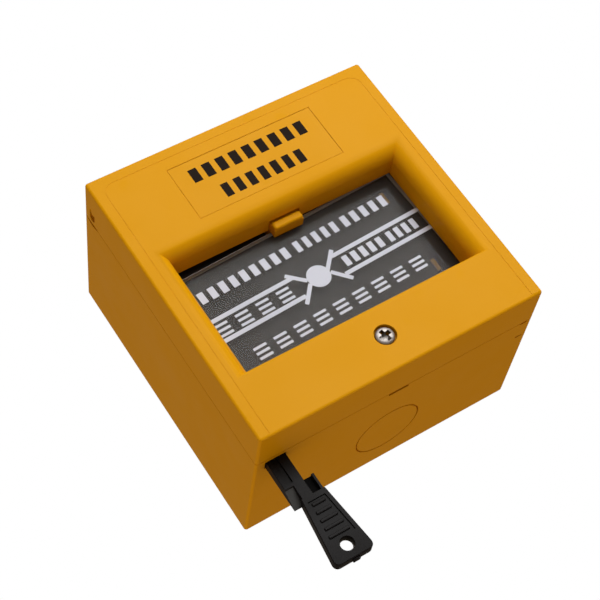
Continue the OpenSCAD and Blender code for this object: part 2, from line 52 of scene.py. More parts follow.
# ---- Camera, studio light and floor ----
# A product set: the unit hangs free, seen from below, in front and to the left. A broad softbox up on
# the right lights its face, three weaker ones and a dim warm surround fill the shade, and a pale floor
# lies far below.
camera_data = bpy.data.cameras.new("camera")
camera_data.lens = 94.89
camera_data.sensor_width = 36
camera_data.shift_x = -0.0016
camera_data.clip_start = 0.01
camera = bpy.data.objects.new("camera", camera_data)
camera.location = (-0.1537, -0.3887, -0.1728)
camera.rotation_euler = [math.radians(a) for a in (118.265, 32.644, -6.567)]
bpy.context.scene.collection.objects.link(camera)
bpy.context.scene.camera = camera
bpy.context.scene.view_settings.view_transform = "Standard"


def softbox(name, place, aim, side, power, tint=(1, 1, 1)):
    """A square area light at place, turned to face aim."""
    data = bpy.data.lights.new(name, "AREA")
    data.shape = "SQUARE"
    data.size = side
    data.energy = power
    data.color = tint
    lamp = bpy.data.objects.new(name, data)
    lamp.location = place
    lamp.rotation_euler = (Vector(aim) - Vector(place)).to_track_quat("-Z", "Y").to_euler()
    bpy.context.scene.collection.objects.link(lamp)


softbox("key_softbox", (0.30, -0.72, 0.30), (0, -0.03, -0.01), 0.62, 6.4)
softbox("side_fill", (-0.88, 0.02, -0.06), (-0.04, -0.03, 0), 0.6, 2.1, (1, 0.84, 0.88))
softbox("under_fill", (0.05, 0.02, -0.88), (0, -0.03, -0.04), 0.6, 1.6, (1, 0.80, 0.80))
softbox("back_fill", (0.4, 0.9, 0.5), (0, -0.03, 0), 0.8, 4.5)

world = bpy.data.worlds.new("studio")
bpy.context.scene.world = world
world.use_nodes = True
sky = world.node_tree
sky.nodes.clear()
surround = sky.nodes.new("ShaderNodeBackground")
surround.inputs["Color"].default_value = (1.0, 0.86, 0.70, 1)
surround.inputs["Strength"].default_value = 0.22
backdrop = sky.nodes.new("ShaderNodeBackground")
backdrop.inputs["Color"].default_value = (1, 1, 1, 1)
backdrop.inputs["Strength"].default_value = 1.0
seen = sky.nodes.new("ShaderNodeLightPath")
pick = sky.nodes.new("ShaderNodeMixShader")
sky.links.new(seen.outputs["Is Camera Ray"], pick.inputs["Fac"])
sky.links.new(surround.outputs[0], pick.inputs[1])
sky.links.new(backdrop.outputs[0], pick.inputs[2])
sky.links.new(pick.outputs[0], sky.nodes.new("ShaderNodeOutputWorld").inputs["Surface"])

FLOOR_HALF, FLOOR_Z = 12, -1.3
FLOOR_GLOW = 0.58
floor_mesh = bpy.data.meshes.new("floor")
bm = bmesh.new()
bmesh.ops.create_grid(bm, x_segments=1, y_segments=1, size=FLOOR_HALF)
bmesh.ops.translate(bm, verts=bm.verts, vec=(0, 0, FLOOR_Z))
bm.to_mesh(floor_mesh)
bm.free()
floor = bpy.data.objects.new("floor", floor_mesh)
bpy.context.scene.collection.objects.link(floor)
floor_paint = bpy.data.materials.new("floor_paint")
floor_paint.use_nodes = True
tree = floor_paint.node_tree
shader = tree.nodes["Principled BSDF"]
shader.inputs["Base Color"].default_value = (0.70, 0.64, 0.56, 1)
shader.inputs["Roughness"].default_value = 0.9
# the set's own light on the floor, which only the lens sees
shader.inputs["Emission Color"].default_value = (0.98, 0.98, 1.0, 1)
lens = tree.nodes.new("ShaderNodeLightPath")
glow = tree.nodes.new("ShaderNodeMath")
glow.operation = "MULTIPLY"
glow.inputs[1].default_value = FLOOR_GLOW
tree.links.new(lens.outputs["Is Camera Ray"], glow.inputs[0])
tree.links.new(glow.outputs[0], shader.inputs["Emission Strength"])
floor_mesh.materials.append(floor_paint)

# ---- Front cover ----
# Injection-moulded ABS in orange-yellow with a satin skin. The deep recess has rolled top and side
# edges and a crisp bottom step, and a fine line runs round the face. It hangs on two lugs of the box.


def sockets(group, way, *names):
    """Gives a node group its named inputs or outputs, all of them plain numbers."""
    for name in names:
        group.interface.new_socket(name, in_out=way, socket_type="NodeSocketFloat")


def noise(group, place, detail, rough=0.5):
    """A noise texture in a node group, read at place."""
    texture = group.nodes.new("ShaderNodeTexNoise")
    texture.inputs["Detail"].default_value = detail
    texture.inputs["Roughness"].default_value = rough
    group.links.new(place, texture.inputs["Vector"])
    return texture


def streaked(group, place, squeeze, turn=(0, 0, 0)):
    """A place turned and squeezed, so that a texture read there runs in streaks."""
    mapping = group.nodes.new("ShaderNodeMapping")
    mapping.inputs["Rotation"].default_value = turn
    mapping.inputs["Scale"].default_value = squeeze
    group.links.new(place, mapping.inputs["Vector"])
    return mapping.outputs[0]


def moulded_skin():
    """Node group: the fine spark-eroded grain, slow blotches and thin scuffs of a moulded skin."""
    group = bpy.data.node_groups.new("moulded_skin", "ShaderNodeTree")
    sockets(group, "INPUT", "Grain Scale", "Blotch Scale")
    sockets(group, "OUTPUT", "Grain", "Blotch", "Scuff")
    inside, outside = group.nodes.new("NodeGroupInput"), group.nodes.new("NodeGroupOutput")
    place = group.nodes.new("ShaderNodeTexCoord").outputs["Object"]
    grain = noise(group, place, 4, 0.6)
    blotch = noise(group, place, 3, 0.55)
    scratch = noise(group, streaked(group, place, (1, 14, 1), (0.4, 0.3, 0.9)), 2)
    scratch.inputs["Scale"].default_value = 160
    thin = group.nodes.new("ShaderNodeMapRange")
    thin.inputs["From Min"].default_value = 0.66
    thin.inputs["From Max"].default_value = 0.74
    group.links.new(scratch.outputs["Fac"], thin.inputs["Value"])
    group.links.new(thin.outputs[0], outside.inputs["Scuff"])
    for texture, name in ((grain, "Grain"), (blotch, "Blotch")):
        group.links.new(inside.outputs[name + " Scale"], texture.inputs["Scale"])
        group.links.new(texture.outputs["Fac"], outside.inputs[name])
    return group


def vary_colour(tree, factor, light, deep):
    """Takes a material's colour from light to deep as factor rises."""
    tint = tree.nodes.new("ShaderNodeMix")
    tint.data_type = "RGBA"
    tint.inputs["A"].default_value = (*light, 1)
    tint.inputs["B"].default_value = (*deep, 1)
    tree.links.new(factor, tint.inputs["Factor"])
    tree.links.new(tint.outputs["Result"], tree.nodes["Principled BSDF"].inputs["Base Color"])


def vary_sheen(tree, value, low, high, smooth, rough):
    """A roughness that goes from smooth to rough as value goes from low to high."""
    sheen = tree.nodes.new("ShaderNodeMapRange")
    for socket, amount in (("From Min", low), ("From Max", high), ("To Min", smooth), ("To Max", rough)):
        sheen.inputs[socket].default_value = amount
    tree.links.new(value, sheen.inputs["Value"])
    return sheen.outputs[0]


def raise_relief(tree, height, strength, relief_mm):
    """Lets a texture stand out of a material's surface."""
    bump = tree.nodes.new("ShaderNodeBump")
    bump.inputs["Strength"].default_value = strength
    bump.inputs["Distance"].default_value = relief_mm * MM
    tree.links.new(height, bump.inputs["Height"])
    tree.links.new(bump.outputs[0], tree.nodes["Principled BSDF"].inputs["Normal"])


skin_group = moulded_skin()
SCUFF_DULLS = 0.12


def moulded(name, light, deep, smooth, rough, grain_mm=0.25, relief_mm=0.012, blotch_mm=18, spec=0.5):
    """A moulded plastic: its colour drifts between light and deep, its roughness between smooth and rough."""
    finish = bpy.data.materials.new(name)
    finish.use_nodes = True
    tree = finish.node_tree
    shader = tree.nodes["Principled BSDF"]
    shader.inputs["Specular IOR Level"].default_value = spec
    skin = tree.nodes.new("ShaderNodeGroup")
    skin.node_tree = skin_group
    skin.inputs["Grain Scale"].default_value = 1 / (grain_mm * MM)
    skin.inputs["Blotch Scale"].default_value = 1 / (blotch_mm * MM)
    vary_colour(tree, skin.outputs["Blotch"], light, deep)
    worn = tree.nodes.new("ShaderNodeMath")
    worn.operation = "MULTIPLY_ADD"
    worn.inputs[1].default_value = SCUFF_DULLS
    tree.links.new(skin.outputs["Scuff"], worn.inputs[0])
    tree.links.new(vary_sheen(tree, skin.outputs["Blotch"], 0.35, 0.65, smooth, rough), worn.inputs[2])
    tree.links.new(worn.outputs[0], shader.inputs["Roughness"])
    raise_relief(tree, skin.outputs["Grain"], 0.5, relief_mm)
    return finish


orange_abs = moulded("orange_abs", (0.79, 0.364, 0.003), (0.76, 0.344, 0.002), 0.34, 0.44, spec=0.05)


def merged_copy(node, name):
    """A CAD node's shape as one closed mesh with its flat faces whole."""
    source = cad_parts[node].data
    mesh = bpy.data.meshes.new(name)
    mesh.from_pydata([v.co for v in source.vertices], [], [p.vertices for p in source.polygons])
    bm = bmesh.new()
    bm.from_mesh(mesh)
    bmesh.ops.remove_doubles(bm, verts=bm.verts, dist=0.002 * MM)
    bmesh.ops.dissolve_limit(bm, angle_limit=math.radians(0.4), verts=bm.verts, edges=bm.edges)
    bm.to_mesh(mesh)
    bm.free()
    copy = bpy.data.objects.new(name, mesh)
    bpy.context.scene.collection.objects.link(copy)
    return copy


def piece(name, bm):
    """A bmesh made an object, with its normals outward."""
    bmesh.ops.recalc_face_normals(bm, faces=bm.faces)
    mesh = bpy.data.meshes.new(name)
    bm.to_mesh(mesh)
    bm.free()
    made = bpy.data.objects.new(name, mesh)
    bpy.context.scene.collection.objects.link(made)
    return made


def block(bm, low, high):
    """Adds a box between two corners, given in millimetres, and returns its corner points."""
    corners = bmesh.ops.create_cube(bm, size=1)["verts"]
    size = [h - l for l, h in zip(low, high)]
    bmesh.ops.scale(bm, verts=corners, vec=[s * MM for s in size])
    bmesh.ops.translate(bm, verts=corners, vec=[(l + h) / 2 * MM for l, h in zip(low, high)])
    return corners


def round_over(bm, edges, radius, steps=4):
    """Rounds edges over; one step makes a chamfer."""
    bmesh.ops.bevel(bm, geom=edges, affect="EDGES", offset=radius * MM, segments=steps, profile=0.5,
                    material=-1)


def work(body, tool, how="DIFFERENCE"):
    """Cuts, joins or trims body with tool, and uses the tool up."""
    change = body.modifiers.new("work", "BOOLEAN")
    change.operation = how
    change.solver = "EXACT"
    change.object = tool
    shape = bpy.data.meshes.new_from_object(body.evaluated_get(bpy.context.evaluated_depsgraph_get()))
    body.modifiers.clear()
    body.data = shape
    bpy.data.objects.remove(tool)


def turned(name, profile, x, z, steps=48):
    """A turned piece along Y at (x, z): profile is (radius, y) pairs in mm, on the axis at both ends."""
    bm = bmesh.new()
    points = [bm.verts.new(((x + r) * MM, y * MM, z * MM)) for r, y in profile]
    edges = [bm.edges.new(pair) for pair in zip(points, points[1:])]
    bmesh.ops.spin(bm, geom=points + edges, cent=(x * MM, 0, z * MM), axis=(0, 1, 0), dvec=(0, 0, 0),
                   angle=2 * math.pi, steps=steps, use_merge=True)
    bmesh.ops.remove_doubles(bm, verts=bm.verts, dist=0.0005 * MM)
    return piece(name, bm)


def finish_piece(made, material, body, slot, *nodes, soften=0.0, sharp=32):
    """Shades, softens and paints a finished piece, and hangs it on its body for its CAD nodes."""
    mesh = made.data
    mesh.polygons.foreach_set("use_smooth", [True] * len(mesh.polygons))
    mesh.set_sharp_from_angle(angle=math.radians(sharp))
    mesh.materials.clear()
    mesh.materials.append(material)
    if soften:
        edge = made.modifiers.new("soft_edges", "BEVEL")
        edge.width = soften * MM
        edge.segments = 3
        edge.limit_method = "ANGLE"
        edge.angle_limit = math.radians(35)
        edge.harden_normals = False
    even = made.modifiers.new("even_shading", "WEIGHTED_NORMAL")
    even.keep_sharp = True
    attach(made, body)
    if nodes:
        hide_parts(*nodes)


CASE_EDGE_R = 0.8
WASTE_HALF = 48


def rounded_outside(y0, y1, half, open_front):
    """The waste round a case: a large block less the case's rounded form, which runs on past its open end."""
    bm = bmesh.new()
    block(bm, (-WASTE_HALF, y0 if open_front else y0 - 3, -WASTE_HALF),
          (WASTE_HALF, y1 + 3 if open_front else y1, WASTE_HALF))
    waste = piece("waste", bm)
    bm = bmesh.new()
    block(bm, (-half, y0 - 2 if open_front else y0, -half), (half, y1 if open_front else y1 + 2, half))
    end = (y0 - 2 if open_front else y1 + 2) * MM
    closed_end = [e for e in bm.edges if not all(abs(v.co.y - end) < 1e-7 for v in e.verts)]
    round_over(bm, closed_end, CASE_EDGE_R, 5)
    work(waste, piece("form", bm))
    return waste


HALF = 42.995
FACE, SEAM = -52.895, -39.7
SCREW_Z, HEAD_Y = -33.4, -51.3
cover = merged_copy("front_cover", "cover_shell")
work(cover, rounded_outside(FACE, SEAM + 0.5, HALF, False))
# a fine step at the rim, so that the seam reads as a shadow line
STEP_TALL, STEP_DEEP = 0.2, 0.3
bm = bmesh.new()
block(bm, (-46, SEAM - STEP_TALL, -46), (46, SEAM + 0.3, 46))
step = piece("step", bm)
bm = bmesh.new()
block(bm, (-HALF + STEP_DEEP, SEAM - 1, -HALF + STEP_DEEP), (HALF - STEP_DEEP, SEAM + 1, 46))
work(step, piece("inner", bm))
work(cover, step)


def arch(name, half, corner, front, back, low):
    """A slab with its two top corners rounded, for one side of the face line."""
    bm = bmesh.new()
    block(bm, (-half, front, low), (half, back, half))
    round_over(bm, [e for e in bm.edges if all(v.co.z > 39 * MM for v in e.verts)
                    and abs(e.verts[0].co.x - e.verts[1].co.x) < 1e-6], corner, 8)
    return piece(name, bm)


# fine line along the top and both sides of the face
LINE_DEEP = 0.07
line = arch("line", 39.9, 3.4, FACE - 1, FACE + LINE_DEEP, -60)
work(line, arch("inner", 39.72, 3.22, FACE - 2, FACE + 1, -61))
work(cover, line)
# round seat for the screw's head
SEAT_R = 3.0
work(cover, turned("seat", [(0, FACE - 1), (SEAT_R, FACE - 1), (SEAT_R, HEAD_Y), (0, HEAD_Y)], 0, SCREW_Z))
finish_piece(cover, orange_abs, "cover", "housing", "front_cover")

# ---- Label ----
# A thin printed plate that lies flush in its seat above the recess, with a hairline gap round it.
# Its print is two rows of plain dark bars.
LABEL_Y = FACE + 0.04
LABEL_GAP, LABEL_T = 0.03, 0.7
LABEL_INK_FRONT, LABEL_INK_T, LABEL_BAR_GAP = LABEL_Y - 0.02, 0.1, 1.6
low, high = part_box("label_insert")
bm = bmesh.new()
block(bm, (low[0] / MM + LABEL_GAP, LABEL_Y, low[2] / MM + LABEL_GAP),
      (high[0] / MM - LABEL_GAP, LABEL_Y + LABEL_T, high[2] / MM - LABEL_GAP))
front_edges = [e for e in bm.edges if all(v.co.y < (LABEL_Y + 0.1) * MM for v in e.verts)]
round_over(bm, front_edges, 0.1, 2)
label = piece("label_plate", bm)
label_film = moulded("label_film", (0.78, 0.360, 0.003), (0.75, 0.338, 0.002), 0.3, 0.4,
                     relief_mm=0.006, spec=0.05)
finish_piece(label, label_film, "cover", "label_sheet", "label_insert")

label_ink = moulded("label_ink", (0.012, 0.007, 0.004), (0.018, 0.010, 0.006), 0.4, 0.5,
                    relief_mm=0.003, spec=0.03)


def bars(bm, left, right, bottom, top, count, gap, y, thick):
    """A row of plain upright bars from left to right, with their front at y."""
    wide = (right - left - gap * (count - 1)) / count
    for i in range(count):
        x = left + i * (wide + gap)
        block(bm, (x, y, bottom), (x + wide, y + thick, top))


bm = bmesh.new()
for reach, bottom, top, count in ((17.6, 29.3, 33.7, 9), (12.4, 21.4, 25.8, 7)):
    bars(bm, -reach, reach, bottom, top, count, LABEL_BAR_GAP, LABEL_INK_FRONT, LABEL_INK_T)
finish_piece(piece("label_print", bm), label_ink, "cover", "label_sheet")

# ---- Cover screw ----
# Nickel-plated pan head screw with a cross recess, sunk in its seat at the bottom of the cover.
# Its thread ends in the box's brass insert, and a nylon washer keeps it in the cover.


def worn_metal():
    """Node group: fine turning marks and slow stains on bare metal."""
    group = bpy.data.node_groups.new("worn_metal", "ShaderNodeTree")
    sockets(group, "INPUT", "Mark Scale")
    sockets(group, "OUTPUT", "Marks", "Stain")
    inside, outside = group.nodes.new("NodeGroupInput"), group.nodes.new("NodeGroupOutput")
    place = group.nodes.new("ShaderNodeTexCoord").outputs["Object"]
    marks = noise(group, streaked(group, place, (1, 9, 1)), 3)
    stain = noise(group, place, 3)
    stain.inputs["Scale"].default_value = 260
    group.links.new(inside.outputs["Mark Scale"], marks.inputs["Scale"])
    group.links.new(marks.outputs["Fac"], outside.inputs["Marks"])
    group.links.new(stain.outputs["Fac"], outside.inputs["Stain"])
    return group


metal_group = worn_metal()


def metal(name, clean, dull, smooth, rough, mark_mm=0.3, relief_mm=0.004):
    """A bare or plated metal whose stains take it from clean to dull."""
    finish = bpy.data.materials.new(name)
    finish.use_nodes = True
    tree = finish.node_tree
    shader = tree.nodes["Principled BSDF"]
    shader.inputs["Metallic"].default_value = 1
    marks = tree.nodes.new("ShaderNodeGroup")
    marks.node_tree = metal_group
    marks.inputs["Mark Scale"].default_value = 1 / (mark_mm * MM)
    vary_colour(tree, marks.outputs["Stain"], clean, dull)
    tree.links.new(vary_sheen(tree, marks.outputs["Marks"], 0.3, 0.7, smooth, rough),
                   shader.inputs["Roughness"])
    raise_relief(tree, marks.outputs["Marks"], 0.3, relief_mm)
    return finish


nickel = metal("nickel_plate", (0.40, 0.365, 0.345), (0.26, 0.24, 0.23), 0.40, 0.52)
SHANK_R, ROOT_R = 1.38, 1.1
THREAD_Y, PITCH, TURNS = HEAD_Y + 3.5, 0.55, 11
CROSS_REACH, CROSS_HALF = 1.75, 0.62
head = [(0, HEAD_Y - 1.40), (0.9, HEAD_Y - 1.39), (1.6, HEAD_Y - 1.34), (2.2, HEAD_Y - 1.22),
        (2.48, HEAD_Y - 1.05), (2.6, HEAD_Y - 0.75), (2.6, HEAD_Y - 0.1), (2.5, HEAD_Y - 0.01),
        (SHANK_R, HEAD_Y - 0.01)]
thread = [(SHANK_R, HEAD_Y + 3.4)]
for turn in range(TURNS):
    y = THREAD_Y + PITCH * turn
    thread += [(ROOT_R, y), (ROOT_R, y + 0.1), (SHANK_R, y + 0.3), (SHANK_R, y + 0.36)]
thread += [(ROOT_R, HEAD_Y + 9.8), (0, HEAD_Y + 10.15)]
screw = turned("cover_screw_turned", head + thread, 0, SCREW_Z)
for angle in (-15, 75):
    bm = bmesh.new()
    block(bm, (-CROSS_REACH, HEAD_Y - 2, SCREW_Z - CROSS_HALF),
          (CROSS_REACH, HEAD_Y + 0.6, SCREW_Z + CROSS_HALF))
    bmesh.ops.rotate(bm, verts=bm.verts, cent=(0, 0, SCREW_Z * MM),
                     matrix=Matrix.Rotation(math.radians(angle), 3, "Y"))
    work(screw, piece("slot", bm))
finish_piece(screw, nickel, "cover", "screw_steel", "cover_screw")


def repaint(node, material):
    """Gives a CAD node that is shown as it is its finish."""
    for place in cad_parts[node].material_slots:
        place.material = material


nylon = moulded("nylon", (0.80, 0.79, 0.74), (0.74, 0.73, 0.68), 0.38, 0.5)
repaint("screw_retainer", nylon)

# ---- Rear box ----
# The surface box, moulded in the same ABS. It carries the hinge lugs, the lip, the screw boss and the
# posts inside, a scored knockout and the key slot below, and fixing holes and a cable entry at the back.
BACK = -0.005
box_shell = merged_copy("rear_box", "box_shell")
work(box_shell, rounded_outside(SEAM, BACK, HALF, True))
finish_piece(box_shell, orange_abs, "base", "housing", "rear_box")

brass = metal("brass", (0.78, 0.56, 0.22), (0.60, 0.40, 0.14), 0.22, 0.40)
repaint("screw_insert", brass)

# ---- Press plate and its tray ----
# A smoked clear acrylic plate, printed in white, lies in a black tray.
# Its polished edges are painted pale grey, a painted highlight for light glinting through them.
# It sits a little askew, as a loose fit lets it, so that its top edge and a dark gap show at the left.
LEAN = math.radians(2.7)
PLATE_FRONT, PLATE_T = -43.0, 1.8
PLATE_HALF_W, PLATE_HALF_H = 35.5, 19
PLATE_Z = -6.85
smoked = bpy.data.materials.new("smoked_acrylic")
smoked.use_nodes = True
tree = smoked.node_tree
shader = tree.nodes["Principled BSDF"]
shader.inputs["Alpha"].default_value = 0.4
shader.inputs["Specular IOR Level"].default_value = 0.2
skin = tree.nodes.new("ShaderNodeGroup")
skin.node_tree = skin_group
skin.inputs["Blotch Scale"].default_value = 60
vary_colour(tree, skin.outputs["Blotch"], (0.058, 0.052, 0.048), (0.080, 0.074, 0.070))
tree.links.new(vary_sheen(tree, skin.outputs["Blotch"], 0, 1, 0.05, 0.16), shader.inputs["Roughness"])

# painted highlight: pale grey on the plate's edge faces, for light glinting through the clear edge
rim_painted_highlight = moulded("rim_painted_highlight", (0.82, 0.82, 0.84), (0.74, 0.74, 0.76), 0.08, 0.16, relief_mm=0.002)

bm = bmesh.new()
block(bm, (-PLATE_HALF_W, PLATE_FRONT, PLATE_Z - PLATE_HALF_H),
      (PLATE_HALF_W, PLATE_FRONT + PLATE_T, PLATE_Z + PLATE_HALF_H))
round_over(bm, bm.edges[:], 0.28, 1)
bmesh.ops.rotate(bm, verts=bm.verts, cent=(0, 0, PLATE_Z * MM), matrix=Matrix.Rotation(-LEAN, 3, "Y"))
plate = piece("smoked_plate", bm)
finish_piece(plate, smoked, "plate", "smoked_plate", "press_plate")
# the edge faces take the painted highlight
plate.data.materials.append(rim_painted_highlight)
for face in plate.data.polygons:
    if abs(face.normal.y) < 0.9:
        face.material_index = 1

white_ink = moulded("white_ink", (0.60, 0.63, 0.73), (0.56, 0.59, 0.69), 0.3, 0.42,
                    relief_mm=0.003, spec=0.3)
STROKE_T, BAR_T = 0.05, 0.04
PRINT_Z = -5.9
DISC_X, DISC_R = -0.75, 3.35
RAIL_Z, RAIL_END, RAIL_WIDE = 3.2, 35.2, 1.2
ARROW_WIDE = 1.15
DASH_HALF, DASH_STEP, DASH_WIDE = 1.95, 1.55, 0.75


def stroke(bm, a, b, wide, y=PLATE_FRONT - 0.025):
    """A straight printed stroke from a to b, both (x, z) on the plate."""
    run = Vector((b[0] - a[0], 0, b[1] - a[1]))
    corners = block(bm, (-run.length / 2, y, -wide / 2), (run.length / 2, y + STROKE_T, wide / 2))
    bmesh.ops.rotate(bm, verts=corners, cent=(0, 0, 0),
                     matrix=Matrix.Rotation(-math.atan2(run.z, run.x), 3, "Y"))
    bmesh.ops.translate(bm, verts=corners, vec=((a[0] + b[0]) / 2 * MM, 0, (a[1] + b[1]) / 2 * MM))


# the disc, the two rails to each side of it, and the arrow heads that point at it
bm = bmesh.new()
disc = bmesh.ops.create_cone(bm, cap_ends=True, segments=64, radius1=DISC_R * MM, radius2=DISC_R * MM,
                             depth=STROKE_T * MM)["verts"]
bmesh.ops.rotate(bm, verts=disc, cent=(0, 0, 0), matrix=Matrix.Rotation(math.radians(90), 3, "X"))
bmesh.ops.translate(bm, verts=disc, vec=(DISC_X * MM, (PLATE_FRONT - 0.012) * MM, 0))
for side, start in ((-1, -7.1), (1, 5.7)):
    for up in (-1, 1):
        stroke(bm, (start, up * RAIL_Z), (side * RAIL_END, up * RAIL_Z), RAIL_WIDE)
for a, b in (((-8.4, 4.7), (-4.1, 0.4)), ((-8.4, -5.4), (-4.0, -0.8)),
             ((6.9, 4.9), (2.2, 0.2)), ((6.7, -5.3), (2.7, -0.6))):
    stroke(bm, a, b, ARROW_WIDE, PLATE_FRONT - 0.031)
# rows of plain bars above and between the rails, and blocks of three short dashes
for bottom, top, gap, runs in ((8.7, 12.2, 1.4, ((-31.2, -3.2, 9), (-0.9, 12.6, 5), (14.6, 28.9, 5))),
                               (-1.6, 1.7, 1.1, ((7.6, 20.3, 5), (22.2, 31.6, 4)))):
    for left, right, count in runs:
        bars(bm, left, right, bottom, top, count, gap, PLATE_FRONT - 0.02, BAR_T)
for x, z in [(-30.7 + 6.4 * k, -0.15) for k in range(4)] + [(-25.9 + 6.25 * k, -10.8) for k in range(9)]:
    for up in (-DASH_STEP, 0, DASH_STEP):
        stroke(bm, (x - DASH_HALF, z + up), (x + DASH_HALF, z + up), DASH_WIDE)
bmesh.ops.translate(bm, verts=bm.verts, vec=(0, 0, PRINT_Z * MM))
bmesh.ops.rotate(bm, verts=bm.verts, cent=(0, 0, PRINT_Z * MM), matrix=Matrix.Rotation(-LEAN, 3, "Y"))
finish_piece(piece("plate_print", bm), white_ink, "plate", "smoked_plate")

black_tray = moulded("black_tray", (0.012, 0.012, 0.012), (0.018, 0.017, 0.017), 0.42, 0.55, spec=0.2)
finish_piece(merged_copy("plate_carrier", "tray"), black_tray, "plate", "black_plastic", "plate_carrier",
             soften=0.15)
repaint("plate_ribs", orange_abs)

# ---- Catch ----
# A flat orange slider behind the cover. Its tab reaches through the recess's top wall and stands in
# front of the plate. Two shoulder screws guide it, and a small coil spring presses it down.
catch = merged_copy("catch_slider", "catch_moulding")
TAB_LOW, TAB_HIGH, TAB_R = (-4.45, -47.0, 9.9), (4.45, -43.0, 12.4), 0.75
bm = bmesh.new()
block(bm, (-6, -48, 8), (6, -46.05, 14))
shaving = piece("shaving", bm)
bm = bmesh.new()
block(bm, TAB_LOW, TAB_HIGH)
round_over(bm, bm.edges[:], TAB_R, 5)
work(shaving, piece("form", bm))
work(catch, shaving)
finish_piece(catch, orange_abs, "catch", "housing", "catch_slider", soften=0.3)

# ---- Reset key ----
# A flat key of black plastic. Its blade stands in the slot, and its grip widens to a rounded end with
# a hanging hole, a sunk panel with cross ridges, and the stub where it was broken off its sprue.
key_plastic = moulded("key_plastic", (0.006, 0.0055, 0.006), (0.009, 0.008, 0.008), 0.28, 0.42,
                      grain_mm=0.18, spec=0.07)
KEY_FRONT, KEY_BACK = -38.4, -35.5
BLADE_LEFT, BLADE_TOP = -39.9, -22.0
GRIP_X, NECK_Z, END_Z = -34.3, -55.5, -74.7
NECK_HALF, END_HALF, END_R = 3.5, 5.8, 1.7
PANEL_TOP, PANEL_BOTTOM, PANEL_RIM, PANEL_DEEP = NECK_Z - 1.6, -68.6, 1.15, 0.42
RIDGE_TOP, RIDGE_STEP, RIDGE_HALF, RIDGE_R = -58.2, 2.3, 0.5, 0.3
HOLE_Z = -70.8


def drawn_out(outline, run):
    """A solid made by drawing a flat outline of points out along run, both in millimetres."""
    bm = bmesh.new()
    face = bm.faces.new([bm.verts.new([c * MM for c in point]) for point in outline])
    grown = bmesh.ops.extrude_face_region(bm, geom=[face])["geom"]
    moved = [v for v in grown if isinstance(v, bmesh.types.BMVert)]
    bmesh.ops.translate(bm, verts=moved, vec=[c * MM for c in run])
    return bm


def slab(outline, y0, y1):
    """A flat plate with that (x, z) outline, from y0 to y1."""
    return drawn_out([(x, y0, z) for x, z in outline], (0, y1 - y0, 0))


def grip_half(z):
    """Half the grip's width at height z."""
    return NECK_HALF + (END_HALF - NECK_HALF) * (NECK_Z - z) / (NECK_Z - END_Z)


bm = slab([(GRIP_X - NECK_HALF, NECK_Z), (GRIP_X + NECK_HALF, NECK_Z),
           (GRIP_X + END_HALF, END_Z), (GRIP_X - END_HALF, END_Z)], KEY_FRONT, KEY_BACK)
ends = [e for e in bm.edges if all(v.co.z < (END_Z + 0.1) * MM for v in e.verts)
        and abs(e.verts[0].co.y - e.verts[1].co.y) > 0.001]
round_over(bm, ends, END_R, 6)
round_over(bm, [e for e in bm.edges if abs(e.calc_face_angle(0)) > 0.9], 0.3, 3)
key = piece("key_moulding", bm)

# the blade, the neck, the floor and the outer rail beside the neck, and the sprue's stub
for low, high in (((BLADE_LEFT, KEY_FRONT, -51.6), (GRIP_X, KEY_BACK, BLADE_TOP)),
                  ((-37.4, KEY_FRONT + 0.01, -57.5), (GRIP_X, KEY_BACK - 0.01, -51.0)),
                  ((GRIP_X - 0.5, KEY_FRONT + 1.3, -56.5), (-31.25, KEY_BACK - 0.02, -51.0)),
                  ((-31.95, KEY_FRONT + 0.02, -56.2), (-31.2, KEY_BACK - 0.03, -51.02)),
                  ((GRIP_X - 0.8, KEY_FRONT + 0.7, END_Z - 0.55), (GRIP_X + 1.2, KEY_BACK - 0.7, END_Z + 1))):
    bm = bmesh.new()
    block(bm, low, high)
    round_over(bm, bm.edges[:], 0.14, 2)
    work(key, piece("bar", bm), "UNION")
# the ramp on the blade's left half
RAMP_LEFT, RAMP_WIDE = -39.88, 2.6
ramp = drawn_out([(RAMP_LEFT, y, z) for y, z in
                  ((KEY_FRONT + 0.45, -51.4), (KEY_BACK - 0.02, -51.4),
                   (KEY_BACK - 0.02, -56.5), (KEY_BACK - 0.5, -56.5))], (RAMP_WIDE, 0, 0))
work(key, piece("ramp", ramp), "UNION")
# channel in the blade, then the grip's sunk panel, ridges and hanging hole
bm = bmesh.new()
block(bm, (-38.7, KEY_FRONT - 1, -50.7), (-36.9, KEY_FRONT + 0.55, -24))
work(key, piece("channel", bm))
top_half, bottom_half = grip_half(PANEL_TOP) - PANEL_RIM, grip_half(PANEL_BOTTOM) - PANEL_RIM
bm = slab([(GRIP_X - top_half, PANEL_TOP), (GRIP_X + top_half, PANEL_TOP),
           (GRIP_X + bottom_half, PANEL_BOTTOM), (GRIP_X - bottom_half, PANEL_BOTTOM)],
          KEY_FRONT - 1, KEY_FRONT + PANEL_DEEP)
work(key, piece("panel", bm))
for k in range(5):
    z = RIDGE_TOP - RIDGE_STEP * k
    half = grip_half(z) - 1.9
    bm = bmesh.new()
    block(bm, (GRIP_X - half, KEY_FRONT + 0.06, z - RIDGE_HALF),
          (GRIP_X + half, KEY_FRONT + 1.0, z + RIDGE_HALF))
    round_over(bm, bm.edges[:], RIDGE_R, 3)
    work(key, piece("ridge", bm), "UNION")
hole = turned("hole", [(0, -40), (2.0, -40), (1.95, KEY_FRONT), (1.68, KEY_FRONT + 0.6), (1.68, -36.1),
                       (1.9, KEY_BACK), (1.9, -34), (0, -34)], GRIP_X, HOLE_Z)
work(key, hole)
finish_piece(key, key_plastic, "key", "key_plastic", "reset_key", sharp=28)
